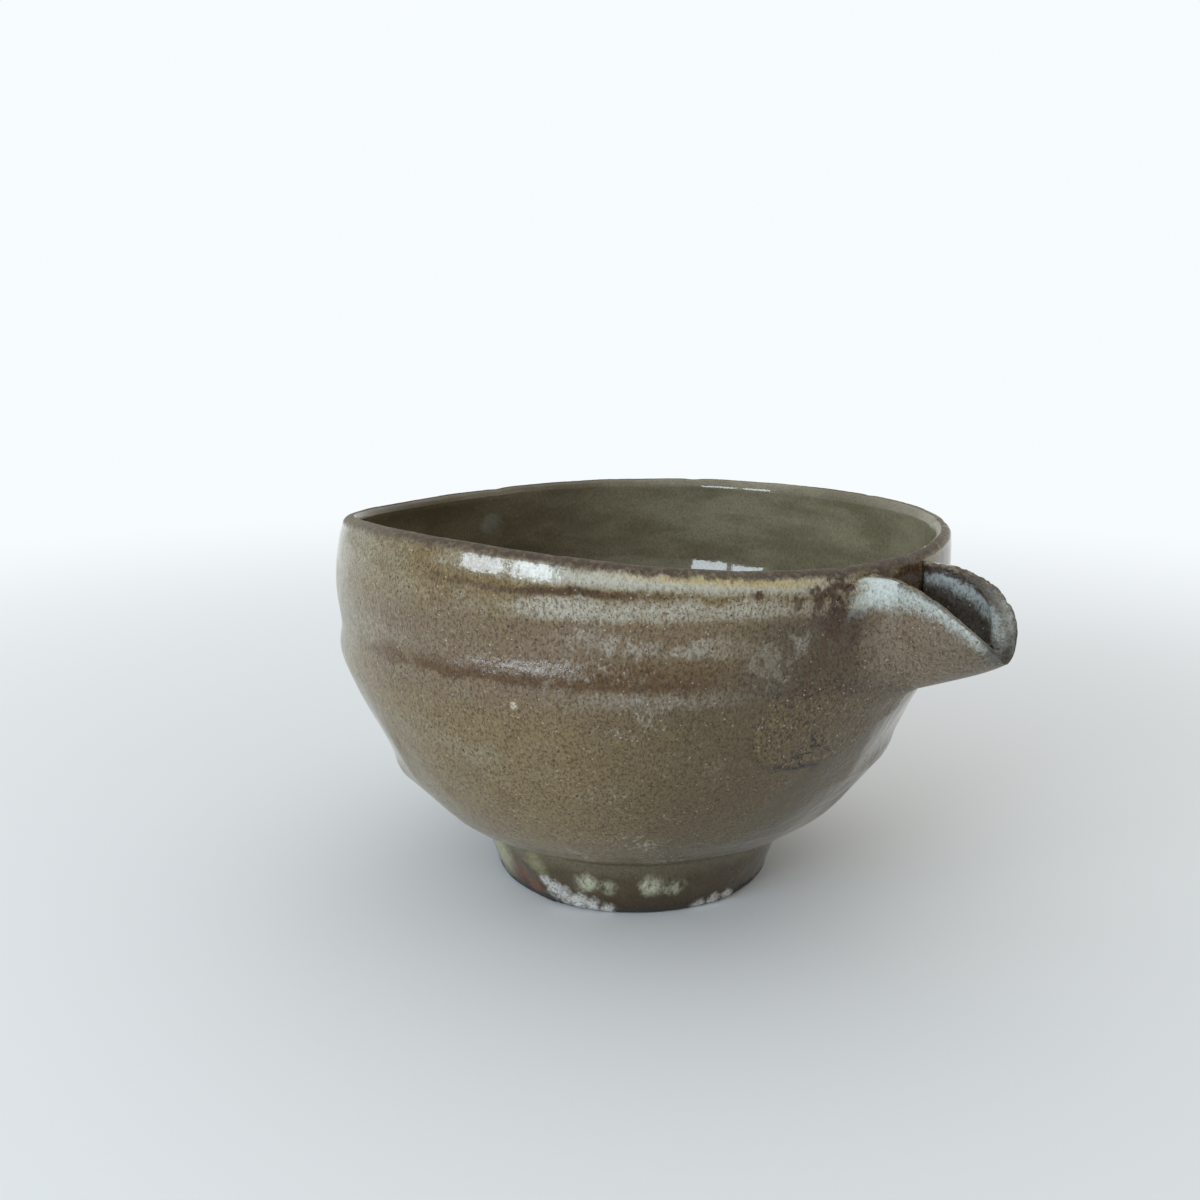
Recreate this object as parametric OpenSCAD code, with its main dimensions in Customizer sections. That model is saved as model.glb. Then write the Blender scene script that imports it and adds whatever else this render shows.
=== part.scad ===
// Katakuchi: a wheel-thrown stoneware sake bowl with a hand-pinched pouring beak.
// Four clay pieces are joined while damp: the thrown bowl, the turned foot ring,
// the folded beak and the clay smeared round the beak's root.
// Millimetres. Z is up, the table is Z = 0, and the beak points along +X.
// Angles of direction are degrees about Z, counted from the beak.

/* [Bowl] */
// Diameter of the bowl at its belly
belly_d = 121; // [112:0.5:132]
// Height of the lip above the table
bowl_h = 73.6; // [70:0.2:82]
// Drop from the lip to the belly, where the wall is widest
belly_drop = 15.6; // [11:0.2:19]
// Fullness of the lower wall, from a straight cone at 1 to a quarter ellipse at 2
fullness = 1.7; // [1.45:0.05:1.85]
// How far the lip turns in from the belly
lip_turn = 1.5; // [0:0.1:2.5]
// Thickness of the lip
lip_wall = 3.4; // [2.6:0.1:4.2]
// Thickness of the wall at the belly
belly_wall = 4.3; // [3.6:0.1:5]
// Thickness of the floor at its middle
floor_wall = 5.3; // [5:0.1:8]
// How far the underside bulges down inside the foot ring
base_drop = 4; // [1:0.1:5]
// Fullness of the hollow, from a straight cone at 1 to a quarter ellipse at 2
hollow_fullness = 2.15; // [1.95:0.05:2.35]

/* [Throwing and paring] */
// How far the lip leans to one side
lean = 2.2; // [0:0.1:4]
// Direction of the lean
lean_turn = 45; // [-180:5:180]
// Rise of the lip on its high side
rim_tilt = 0.9; // [0:0.1:2]
// Direction of the high side of the lip
rim_tilt_turn = -90; // [-180:5:180]
// Rise of the two opposite swells of the lip
rim_sway = 1.4; // [0:0.1:2.5]
// Direction of one of the two swells
rim_sway_turn = 91; // [-180:1:180]
// Rise of the three small swells of the lip
rim_ripple = 0.6; // [0:0.1:1.2]
// Direction of one of the three swells
rim_ripple_turn = 150; // [-180:5:180]
// Depth of the spiral throwing groove
groove_depth = 1; // [0:0.05:1.2]
// Climb of the groove in one turn
groove_pitch = 30; // [24:0.5:40]
// Drop from the lip to the groove at the beak
groove_drop = 10; // [6:0.2:16]
// Number of knife facets pared round the lower wall
facet_count = 11; // [6:1:14]
// Depth of the knife facets
facet_depth = 1.5; // [0:0.1:2]
// Direction of the middle of one facet
facet_turn = 16; // [-180:1:180]
// Drop from the lip to where the facets fade out
facet_drop = 26.6; // [20:0.2:32]
// Drop from the lip to the ridge between the upper and the lower row of facets
facet_ridge_drop = 45; // [42:0.2:52]
// Rise of that ridge on its high side
facet_ridge_tilt = 3; // [0:0.2:4]
// Direction of the high side of the ridge
facet_ridge_turn = 40; // [-180:5:180]
// Direction of the side that was left smooth
smooth_turn = -50; // [-180:5:180]
// Angle over which that side was left smooth
smooth_span = 90; // [40:5:160]

/* [Foot ring] */
// Height of the foot ring
foot_h = 13.2; // [9:0.2:14]
// Diameter of the foot ring where it meets the bowl
foot_top_d = 64.5; // [56:0.5:68]
// Diameter of the foot ring at the table
foot_base_d = 57.4; // [52:0.2:60]
// Width of the face that rests on the table
foot_rest_w = 5; // [3.5:0.1:7]
// Slope of the hollow side of the foot ring, as its inward step over the height
foot_draft = 2; // [0:0.1:4]
// Size of the rounded arris at the table
foot_arris = 1.6; // [0.6:0.1:2]
// Depth of the line turned under the bowl
foot_line = 0.6; // [0.2:0.1:1]

/* [Beak] */
// Reach of the beak from the bowl's wall
beak_reach = 19.4; // [14:0.2:28]
// Width of the beak
beak_w = 18.4; // [17.6:0.2:24]
// Thickness of the beak's wall
beak_wall = 2.2; // [1.6:0.1:2.8]
// Drop from the lip to the beak's edges at the bowl
edge_drop = 3.2; // [3:0.2:5]
// Drop from the lip to the beak's keel at the bowl
keel_drop = 25.2; // [23.6:0.2:29.6]
// Drop from the lip to the tip
tip_drop = 15.4; // [9.6:0.2:17.6]
// Bow of the cut edge on the smooth side, from a straight cut at 1 to a quarter ellipse at 2
near_bow = 1.7; // [1.4:0.1:2.6]
// Bow of the cut edge on the far side
far_bow = 1.9; // [1.4:0.1:2.6]
// Fullness of the trough, from a V at 1 to a U at 2
trough_fullness = 1.75; // [1.4:0.05:2.2]
// Diameter of the pour hole through the wall
pour_d = 12; // [8:0.5:13]
// Drop from the lip to the pour hole's centre
pour_drop = 14.6; // [12.6:0.2:16.6]

/* [Luting clay] */
// Width of the clay smeared onto the wall
smear_w = 4; // [2.5:0.1:6]
// Extra width of the smear below the beak on its smooth side
smear_apron = 20; // [8:0.5:24]
// Where the apron hangs, from 90 under the keel to 180 at the beak's edge
smear_turn = 142; // [125:1:155]
// How narrow the apron is, from a broad sheet to a tongue
smear_focus = 9; // [4:1:14]
// How far the smear sags beside the beak's edges
smear_sag = 3.4; // [0:0.1:4]
// Thickness of the smear at its edge
smear_edge = 1; // [0.6:0.1:1.6]
// Thickness of the smear's edge above the apron, where it was rubbed into the wall
smear_feather = 0.3; // [0.2:0.05:0.6]
// Share of the beak's length that the clay climbs
climb_share = 0.26; // [0.15:0.01:0.36]
// Thickness of the slip between the bowl's wall and what is luted to it
slip_seam = 0.14; // [0.08:0.01:0.3]

/* [Hidden] */

belly_r = belly_d / 2;
seat_r = foot_top_d / 2;
rest_r = foot_base_d / 2 - foot_arris;
hollow_r = rest_r - foot_rest_w - foot_draft;
well_z = foot_h - base_drop + floor_wall;
lip_round = lip_wall / 2;

// Heights that follow the lip
belly_z = bowl_h - belly_drop;
groove_z = bowl_h - groove_drop;
facet_top_z = bowl_h - facet_drop;
facet_ridge_z = bowl_h - facet_ridge_drop;
beak_edge_z = bowl_h - edge_drop;
beak_keel_z = bowl_h - keel_drop;
beak_tip_z = bowl_h - tip_drop;
pour_z = bowl_h - pour_drop;

glaze_olive = [0.43, 0.38, 0.28];
glaze_brown = [0.38, 0.32, 0.25];
glaze_milky = [0.55, 0.53, 0.50];
glaze_dull = [0.40, 0.34, 0.27];

// Steps of the meshes: angles round the bowl, heights up each skin of the wall,
// angles round the beak's trough, lengths along it, and widths across the smear
turns = 84;
outer_steps = 25;
upper_steps = 7;
lip_steps = 4;
inner_steps = 15;
base_steps = 3;
trough_steps = 32;
reach_steps = 13;
climb_steps = 3;
smear_steps = 8;
// Angles crowd together at the beak by this many degrees
crowd = 34;

// The lower wall and the hollow are parts of superellipses
function swell(t, n) = pow(1 - pow(1 - t, n), 1 / n);
function ease(a, b, v) = let (t = max(0, min(1, (v - a) / (b - a)))) t * t * (3 - 2 * t);
function mix(a, b, t) = a + (b - a) * t;
function wrap(a) = a - 360 * round(a / 360);

// Share of the bowl's height above its seat, which the hand's warps grow with
function share(z) = max(0, (z - foot_h) / (bowl_h - foot_h));

// The wall stands nearly straight above the belly, and the lip turns in only near its edge
lip_bow = 4;
function outer_r(z) = z < belly_z
    ? mix(seat_r, belly_r, swell((z - foot_h) / (belly_z - foot_h), fullness))
    : belly_r - lip_turn * pow((z - belly_z) / (bowl_h - belly_z), lip_bow);

function inner_r(z) = z < belly_z
    ? (belly_r - belly_wall) * swell((z - well_z) / (belly_z - well_z), hollow_fullness)
    : outer_r(z) - mix(belly_wall, lip_wall, (z - belly_z) / (bowl_h - belly_z));

// The throwing groove is one spiral, felt on both skins of the wall. A finger left it with a
// steep ledge below and a long slope above, as these shares of its pitch.
// It fades in and out over these shares of the height, and between these angles it was
// rubbed smooth for the beak.
groove_ledge = 0.09;
groove_slope = 0.2;
groove_in = [0.45, 0.6];
groove_out = [0.78, 0.98];
groove_rubbed = [20, 44];
function groove(a, z) = let (
    off = wrap(360 * (z - groove_z) / groove_pitch - a) / 360,
    way = off / (off < 0 ? groove_ledge : groove_slope))
    -groove_depth * exp(-way * way)
    * ease(groove_in[0], groove_in[1], share(z))
    * (1 - ease(groove_out[0], groove_out[1], share(z)))
    * ease(groove_rubbed[0], groove_rubbed[1], abs(wrap(a)));

// Knife facets low on the wall, in two rows that meet at a ridge. The lower row is shifted by a
// share of a facet, and the upper facets are deepest just above the ridge.
// Facets fade in over some degrees at both ends of the smooth side.
facet_shift = 0.8;
facet_sink = 0.65;
facet_in = [-10, 15];
function pared(a) =
    ease(smooth_span / 2 + facet_in[0], smooth_span / 2 + facet_in[1], abs(wrap(a - smooth_turn)));
function facet(a, z) = let (
    ridge_z = facet_ridge_z + facet_ridge_tilt * cos(a - facet_ridge_turn),
    lower = z < ridge_z,
    place = (a - facet_turn) * facet_count / 360 + (lower ? facet_shift : 0),
    off = abs(place - round(place)) * 2,
    up = lower
        ? (z - foot_h) / (ridge_z - foot_h)
        : pow((z - ridge_z) / (facet_top_z - ridge_z), facet_sink))
    up >= 1 || up <= 0 ? 0 : -facet_depth * (1 - off * off) * sin(180 * up) * pared(a);

function rim_rise(a) =
    rim_tilt * cos(a - rim_tilt_turn)
    + rim_sway * cos(2 * (a - rim_sway_turn))
    + rim_ripple * cos(3 * (a - rim_ripple_turn));

// The lean and the sway of the lip grow with these powers of the height
lean_bow = 3;
sway_bow = 2;
function leaned(z) = lean * pow(share(z), lean_bow);
function swayed(a, z) = pow(share(z), sway_bow) * rim_rise(a);

// A point of the wall at angle a, moved by the lean and the sway of the lip
function warp(a, r, z) = [
    r * cos(a) + leaned(z) * cos(lean_turn),
    r * sin(a) + leaned(z) * sin(lean_turn),
    z + swayed(a, z)];

function skin_r(a, z) = outer_r(z) + groove(a, z) + facet(a, z);

// X at which a piece seats on the wall, with its seam of slip
function seat_x(y, z) = wall_x(y, z) + slip_seam;

// X of the bowl's outer skin at a given y and height, on the beak's side
function wall_x(y, z) = wall_at(y, z, z, asin(y / belly_r), 6);
function wall_at(y, z, plain_z, a, tries) = let (
    r = skin_r(a, plain_z),
    across = (y - leaned(plain_z) * sin(lean_turn)) / r,
    next_a = asin(max(-1, min(1, across))))
    tries == 0
    ? r * cos(a) + leaned(plain_z) * cos(lean_turn)
    : wall_at(y, z, z - swayed(a, plain_z), next_a, tries - 1);

// Triangles between two rows of n points that start at i and j
function strip(i, j, n) = [for (k = [0 : n - 2])
    each [[i + k, j + k, j + k + 1], [i + k, j + k + 1, i + k + 1]]];
function ring(i, j, n) = [for (k = [0 : n - 1]) let (m = (k + 1) % n)
    each [[i + k, j + k, j + m], [i + k, j + m, i + m]]];
function flip(faces) = [for (f = faces) [f[2], f[1], f[0]]];

function turn(i) = 360 * i / turns - crowd * sin(360 * i / turns);

// Heights crowd towards the seat and the well, where the wall curves most
outer_crowd = 1.4;
inner_crowd = 1.5;

// Section of the bowl as [radius, height, skin]: 0 underside, 1 outside, 2 inside
base_section = [for (k = [1 : base_steps]) let (q = k / (base_steps + 1))
    [hollow_r * q, foot_h - base_drop * (1 - q * q), 0]];
seat_section = [[hollow_r, foot_h, 0], [seat_r, foot_h, 0]];
outer_section = [for (k = [1 : outer_steps])
    let (z = mix(foot_h, belly_z, pow(k / outer_steps, outer_crowd))) [outer_r(z), z, 1]];
upper_section = [for (k = [1 : upper_steps])
    let (z = mix(belly_z, bowl_h - lip_round, k / upper_steps)) [outer_r(z), z, 1]];
lip_section = [for (k = [1 : lip_steps - 1]) let (t = 180 * k / lip_steps)
    [outer_r(bowl_h - lip_round) - lip_round * (1 - cos(t)), bowl_h - lip_round * (1 - sin(t)), 2]];
inner_section = [for (k = [0 : inner_steps - 1])
    let (z = mix(well_z, bowl_h - lip_round, pow(1 - k / inner_steps, inner_crowd))) [inner_r(z), z, 2]];
section = concat(base_section, seat_section, outer_section, upper_section, lip_section, inner_section);

function section_point(a, p) = p[2] == 0
    ? [p[0] * cos(a), p[0] * sin(a), p[1]]
    : warp(a, p[0] + groove(a, p[1]) + (p[2] == 1 ? facet(a, p[1]) : 0), p[1]);

// The thrown wall with its lip, floor and flat seat for the foot ring
module thrown_bowl() {
    rows = len(section);
    points = concat(
        [for (p = section) for (i = [0 : turns - 1]) section_point(turn(i), p)],
        [[0, 0, foot_h - base_drop], [0, 0, well_z]]);
    under = rows * turns;
    well = under + 1;
    top = (rows - 1) * turns;
    faces = concat(
        [for (k = [0 : rows - 2]) each ring(k * turns, (k + 1) * turns, turns)],
        [for (i = [0 : turns - 1]) [under, i, (i + 1) % turns]],
        [for (i = [0 : turns - 1]) [well, top + (i + 1) % turns, top + i]]);
    polyhedron(points, faces);
}

module bowl() {
    color(glaze_olive) difference() {
        thrown_bowl();
        translate([belly_r / 2, 0, pour_z])
            rotate([0, 90, 0])
                cylinder(d = pour_d, h = belly_r, $fn = 48);
    }
}

// The foot ring's section: flat on the table, flat under the bowl, with a turned line below the seat
module foot_ring() {
    line_z = foot_h - foot_line;
    side_r = mix(foot_base_d / 2, seat_r, line_z / foot_h);
    arris_steps = 4;
    arris = [for (k = [0 : arris_steps]) let (t = 90 * k / arris_steps)
        [rest_r + foot_arris * sin(t), foot_arris * (1 - cos(t))]];
    color(glaze_brown) rotate_extrude($fn = 96) polygon(concat(
        arris,
        [[side_r, line_z - foot_line],
         [side_r - foot_line, line_z],
         [seat_r, foot_h],
         [hollow_r, foot_h],
         [rest_r - foot_rest_w, 0]]));
}

// The beak: trough sections along its length, at s = 0 on the wall and 1 at the tip
beak_x = wall_x(0, pour_z);
tip_x = beak_x + beak_reach;
// Shares of the length where the edges begin to fall and the sides begin to close
edge_share = 0.18;
nose_share = 0.35;
// The last full section, just short of the tip
last_share = 0.975;
// The keel's last upward turn
nose_lift = 0.4 * beak_wall;
// The trough's floor is thicker than its sides, and the nose thicker still
keel_wall = 1.15 * beak_wall;
nose_wall = 1.6 * beak_wall;
// The least half width and depth of the trough at the nose
nose_half = beak_wall / 3;
nose_depth = beak_wall / 6;

function beyond(s, start) = max(0, (s - start) / (1 - start));
// The two cut edges fall to the tip with bows of their own; t is the angle round the trough
function edge_z(s, t) = let (bow = t < 90 ? far_bow : near_bow) beak_tip_z
    + (beak_edge_z - beak_tip_z) * pow(1 - pow(beyond(s, edge_share), bow), 1 / bow);
function low_edge_z(s) = min(edge_z(s, 0), edge_z(s, 180));
function keel_z(s) = mix(beak_keel_z, beak_tip_z - nose_lift, s) + nose_lift * pow(s, 8);
function half_w(s) = beak_w / 2 * sqrt(1 - pow(beyond(s, nose_share), 3));

// A trough point at s and angle t, on the outside skin (0) or the inside skin (1)
function trough_yz(s, t, skin) = let (
    w = max(nose_half, half_w(s) - skin * beak_wall),
    top = edge_z(s, t),
    z = min(keel_z(s) + skin * keel_wall, low_edge_z(s) - nose_depth),
    n = 2 / trough_fullness)
    [w * sign(cos(t)) * pow(abs(cos(t)), n), top - (top - z) * pow(sin(t), n)];
function trough_point(s, t, skin) = let (
    root = trough_yz(0, t, skin),
    p = trough_yz(s, t, skin))
    [mix(seat_x(root[0], root[1]), tip_x - skin * nose_wall, s), p[0], p[1]];

function trough_turn(i) = 180 * i / trough_steps;
// Stations crowd towards the rounded nose, with the first few inside the smear
nose_crowd = 1.5;
function reach(j) = j <= climb_steps
    ? climb_share * j / climb_steps
    : let (left = (reach_steps - j) / (reach_steps - climb_steps))
        mix(last_share, climb_share, pow(left, nose_crowd));

module beak() {
    n = trough_steps + 1;
    points = concat(
        [for (skin = [0, 1]) for (j = [0 : reach_steps]) for (i = [0 : trough_steps])
            trough_point(reach(j), trough_turn(i), skin)],
        [[tip_x, 0, beak_tip_z], [tip_x - nose_wall, 0, low_edge_z(last_share) - nose_depth]]);
    inside = (reach_steps + 1) * n;
    last = reach_steps * n;
    nose = 2 * inside;
    hollow_nose = nose + 1;
    faces = concat(
        [for (j = [0 : reach_steps - 1]) each strip((j + 1) * n, j * n, n)],
        [for (j = [0 : reach_steps - 1]) each strip(inside + j * n, inside + (j + 1) * n, n)],
        [for (i = [0 : trough_steps - 1]) [last + i + 1, nose, last + i]],
        [for (i = [0 : trough_steps - 1]) [inside + last + i, hollow_nose, inside + last + i + 1]],
        strip(0, inside, n),
        [for (j = [0 : reach_steps - 1]) each edge_cut((j + 1) * n, j * n, inside)],
        [for (j = [0 : reach_steps - 1])
            each edge_cut(j * n + trough_steps, (j + 1) * n + trough_steps, inside)],
        [[last, nose, hollow_nose], [last, hollow_nose, inside + last]],
        [[last + trough_steps, hollow_nose, nose],
         [last + trough_steps, inside + last + trough_steps, hollow_nose]]);
    color(glaze_milky) polyhedron(points, faces);
}

// The cut edge between the two skins, from one station to the next
function edge_cut(i, j, inside) = [[i, i + inside, j + inside], [i, j + inside, j]];

// Luting clay: a fillet round the beak's root that runs out over the wall as an apron.
// Its height falls with the cube of the way out, and its top leaves the beak with a faster blend.
fillet_bow = 3;
fillet_blend = 4;
function smear_reach(t) = smear_w + smear_apron * pow(max(0, cos(t - smear_turn)), smear_focus);
function smear_yz(t, q) = let (root = trough_yz(0, t, 0), d = q * smear_reach(t))
    [root[0] + d * cos(t), root[1] - d * sin(t) - smear_sag * q * q * pow(cos(t), 4)];
function on_wall(p) = [seat_x(p[0], p[1]), p[0], p[1]];
function outward(p) = let (r = norm([p[0], p[1]])) [p[0] / r, p[1] / r, 0];
// The edge thins from the apron to the beak's edge, over this many degrees
feather_turn = [-10, 25];
function smear_rim(t) =
    mix(smear_edge, smear_feather, ease(smear_turn + feather_turn[0], smear_turn + feather_turn[1], t));
function smear_height(t, q) = let (climb = norm(trough_point(climb_share, t, 0) - trough_point(0, t, 0)))
    mix(smear_rim(t), climb, pow(1 - q, fillet_bow));
function smear_top(t, q) = let (
    root = trough_point(0, t, 0),
    foot = on_wall(smear_yz(t, q)),
    miss = trough_point(climb_share, t, 0) - root - outward(root) * smear_height(t, 0))
    foot + outward(foot) * smear_height(t, q) + miss * pow(1 - q, fillet_blend);

// One cross-section of the smear: along the wall, back over its top and down the beak
function smear_loop(t) = concat(
    [for (k = [0 : smear_steps]) on_wall(smear_yz(t, k / smear_steps))],
    [for (k = [smear_steps : -1 : 1]) smear_top(t, k / smear_steps)],
    [for (j = [climb_steps : -1 : 1]) trough_point(reach(j), t, 0)]);

module luting_clay() {
    n = 2 * smear_steps + 1 + climb_steps;
    points = [for (i = [0 : trough_steps]) each smear_loop(trough_turn(i))];
    end = trough_steps * n;
    faces = concat(
        [for (i = [0 : trough_steps - 1]) each ring(i * n, (i + 1) * n, n)],
        flip(smear_cap(0, n)),
        smear_cap(end, n));
    color(glaze_dull) polyhedron(points, faces);
}

// The end of the smear: a fan down the beak, then a strip between wall and top
function smear_cap(i, n) = concat(
    [for (j = [1 : climb_steps]) [i + n - climb_steps - 1, i + (n - j + 1) % n, i + n - j]],
    [for (k = [0 : smear_steps - 1])
        let (a = i + k, b = i + n - climb_steps - k)
        each k == smear_steps - 1
            ? [[a, b - 1, a + 1]]
            : [[a, b - 1, a + 1], [a + 1, b - 1, b - 2]]]);

bowl();
foot_ring();
beak();
luting_clay();
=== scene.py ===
# %% [markdown]
# # A katakuchi: a stoneware sake bowl with a folded pouring beak
# The real object is four pieces of damp clay that were joined and fired as one: a bowl thrown
# on the wheel, a turned foot ring, a beak folded from a thin sheet, and clay smeared round the
# beak's root. This lesson makes the same four pieces, then glazes them.
# Everything is drawn in millimetres and becomes metres once, when a piece is finished.

from math import asin, atan2, cos, degrees, exp, hypot, pi, radians, sin, sqrt

import bmesh
import bpy
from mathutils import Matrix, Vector, noise


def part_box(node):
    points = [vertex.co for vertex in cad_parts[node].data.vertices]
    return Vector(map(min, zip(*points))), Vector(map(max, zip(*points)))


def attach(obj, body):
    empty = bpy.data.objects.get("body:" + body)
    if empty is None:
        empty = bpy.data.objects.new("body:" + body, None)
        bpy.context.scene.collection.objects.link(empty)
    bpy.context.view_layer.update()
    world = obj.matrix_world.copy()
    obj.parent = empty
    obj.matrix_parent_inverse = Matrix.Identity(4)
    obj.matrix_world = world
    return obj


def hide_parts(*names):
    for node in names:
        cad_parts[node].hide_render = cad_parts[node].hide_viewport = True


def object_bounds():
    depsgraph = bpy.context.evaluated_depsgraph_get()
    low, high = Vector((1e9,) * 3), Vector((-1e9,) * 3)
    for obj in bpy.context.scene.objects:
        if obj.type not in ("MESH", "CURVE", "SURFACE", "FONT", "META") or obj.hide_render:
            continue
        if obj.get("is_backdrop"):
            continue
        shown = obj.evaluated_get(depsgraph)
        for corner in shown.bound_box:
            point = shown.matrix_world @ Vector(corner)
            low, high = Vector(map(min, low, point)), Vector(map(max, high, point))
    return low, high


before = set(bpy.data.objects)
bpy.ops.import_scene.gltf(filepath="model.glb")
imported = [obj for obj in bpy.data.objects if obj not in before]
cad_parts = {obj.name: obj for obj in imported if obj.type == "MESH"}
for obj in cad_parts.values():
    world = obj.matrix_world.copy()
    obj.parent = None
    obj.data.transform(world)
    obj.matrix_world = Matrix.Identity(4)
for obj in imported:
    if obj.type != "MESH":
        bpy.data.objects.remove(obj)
cad_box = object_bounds()
for node in ("bowl", "foot_ring", "beak", "luting_clay"):
    low, high = ([round(1000 * v, 1) for v in corner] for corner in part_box(node))
    print(node, "from", low, "to", high)

# %% [markdown]
# ## The camera
# The photograph was taken from close by with a wide lens, so its perspective is strong.
# Directions in this lesson are given as the viewer sees them, right, away and up, and turned by
# 45 degrees into the frame, where the beak points along X.

# %% Camera
VIEW_TURN, VIEW_PITCH = 45, 12.86


def seen(right, away, up):
    turn = radians(VIEW_TURN)
    return Vector((right * cos(turn) - away * sin(turn), right * sin(turn) + away * cos(turn), up))


def show(name, data):
    thing = bpy.data.objects.new(name, data)
    bpy.context.scene.collection.objects.link(thing)
    return thing


camera = show("camera", bpy.data.cameras.new("camera"))
camera.data.sensor_width = 36
camera.data.lens = 34.8
camera.location = seen(-0.00684, -0.2313, 0.1081)
camera.rotation_euler = (radians(90 - VIEW_PITCH), 0, radians(VIEW_TURN))
bpy.context.scene.camera = camera
print("camera at", [round(v, 3) for v in camera.location])

# %% [markdown]
# ## The thrown wall
# A thrown bowl is a turned section that hands have moved. The section comes first: the lower
# wall and the hollow are parts of superellipses, and the lip turns in near its edge.
# Drawing the section as two functions, one for each skin, keeps the wall's thickness in view.

# %% Section of the wall
MM = 0.001
bowl_h, belly_z, belly_r = 73.6, 58.0, 60.5
foot_h, seat_r, hollow_r, base_drop = 13.2, 32.25, 20.1, 4.0
well_z = 14.5
lip_wall, belly_wall, lip_turn = 3.4, 4.3, 1.5
lip_round = lip_wall / 2
outer_swell, inner_swell = 1.7, 2.15
pinch_deep, pinch_end = 0.6, 46


def mix(a, b, t):
    return a + (b - a) * t


def ease(a, b, v):
    t = min(1.0, max(0.0, (v - a) / (b - a)))
    return t * t * (3 - 2 * t)


def swell(t, n):
    return (1 - (1 - max(0.0, t)) ** n) ** (1 / n)


def outer_r(z):
    if z < belly_z:
        return mix(seat_r, belly_r, swell((z - foot_h) / (belly_z - foot_h), outer_swell))
    return belly_r - lip_turn * ((z - belly_z) / (bowl_h - belly_z)) ** 4


def inner_r(z):
    if z < belly_z:
        pinch = pinch_deep * ease(well_z, well_z + 5, z) * (1 - ease(pinch_end, belly_z, z))
        full = swell((z - well_z) / (belly_z - well_z), inner_swell)
        return (belly_r - belly_wall) * full - pinch
    return outer_r(z) - mix(belly_wall, lip_wall, (z - belly_z) / (bowl_h - belly_z))


print("wall at the belly", round(outer_r(belly_z) - inner_r(belly_z), 2), "mm thick")

# %% [markdown]
# ## What the hands did
# Fingers leave one spiral groove on both skins, with a steep ledge below and a long slope above,
# rubbed away where the beak was luted. A knife leaves two rows of flat facets low on the outside,
# except on the viewer's side. The soft lip leans and sways. Each is a small move of the turned
# section, so the wall stays one skin and the joints can ask where it is.
# Three functions add what only a close look shows: ripples, a nicked and worn lip, and lumps.

# %% Moves of the hand
groove_z, groove_turn = 63.6, 12  # height at the beak, degrees turned in each millimetre
ledge, slope = 0.09, 0.2  # shares of a turn
plain_side = -50  # the viewer's side, which the knife left alone
facets, facet_deep, facet_top = 11, 1.5, 47.0
ridge_z, ridge_sway, ridge_thin = 28.6, 3, 0.7  # between the two rows of facets
ripple_deep, lip_lean = 0.07, 2.2
# Each nick: angle, width in degrees, depth
lip_nicks = [
    (-14, 1.2, 0.4), (-7, 0.9, 0.3), (4, 1.2, 0.4), (11, 0.8, 0.25), (38, 1.5, 0.25), (73, 1.2, 0.15),
    (121, 1.6, 0.2), (171, 2.0, 0.2), (-128, 1.2, 0.15), (-61, 0.8, 0.12), (-33, 0.7, 0.12)]


def cosd(a):
    return cos(radians(a))


def sind(a):
    return sin(radians(a))


def round_about(a, at):
    return (a - at + 180) % 360 - 180


def share(z):
    return max(0.0, (z - foot_h) / (bowl_h - foot_h))


def groove(a, z):
    off = round_about(groove_turn * (z - groove_z), a) / 360
    way = off / (ledge if off < 0 else slope)
    fade = ease(0.45, 0.6, share(z)) * (1 - ease(0.78, 0.98, share(z))) * ease(20, 44, abs(a))
    return -exp(-way * way) * fade


def knife_side(a):
    return ease(35, 60, abs(round_about(a, plain_side)))


def pared(a, z):
    return knife_side(a) * (1 - ease(34, 50, z))


def facet_place(a, z):
    ridge = ridge_z + ridge_sway * cosd(a - 40)
    lower = z < ridge
    place = (a - 16) * facets / 360 + (0.8 if lower else 0)
    if lower:
        up = (z - foot_h) / (ridge - foot_h)
    else:
        up = (max(0.0, z - ridge) / (facet_top - ridge)) ** 0.65
    return abs(place - round(place)) * 2, up, z - ridge


def facet(a, z):
    off, up, _ = facet_place(a, z)
    if not 0 < up < 1:
        return 0.0
    return -facet_deep * (1 - off * off) * sind(180 * up) * knife_side(a)


# Where the facets meet: the mask of the highlight painted on their ridges
def ridge_highlight(a, z):
    off, up, above = facet_place(a, z)
    upright = ease(0.9, 1.0, off) * sind(180 * min(1.0, max(0.0, up)))
    return pared(a, z) * max(upright, exp(-(above / ridge_thin) ** 2))


def ripple(a, z):
    wave = ripple_deep * sind(140 * z + 30 * sind(2 * a))
    return wave * (1 - ease(18, 25, z)) * (1 - pared(a, z))


def rim_rise(a):
    return 0.9 * cosd(a + 90) + 1.4 * cosd(2 * (a - 91)) + 0.6 * cosd(3 * (a - 150))


def lean(z):
    return lip_lean * share(z) ** 3 * cosd(45)


def warp(a, r, z):
    return Vector((r * cosd(a) + lean(z), r * sind(a) + lean(z), z + share(z) ** 2 * rim_rise(a)))


def lip_wear(a):
    spot = Vector((cosd(a), sind(a), 0))
    worn = 0.13 * (1 + noise.noise(spot * 6)) + 0.05 * (1 + noise.noise(spot * 40))
    return worn + sum(deep * exp(-((a - at) / wide) ** 2) for at, wide, deep in lip_nicks)


def lumps(p, seed):
    shift = Vector((seed, 2 * seed, 0))
    return 0.15 * noise.noise(p / 14 + shift) + 0.07 * noise.noise(p / 5 + shift) - 0.2


print("lip stands from", round(min(rim_rise(a) for a in range(360)), 2), "to",
      round(max(rim_rise(a) for a in range(360)), 2), "mm about its mean")
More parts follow.
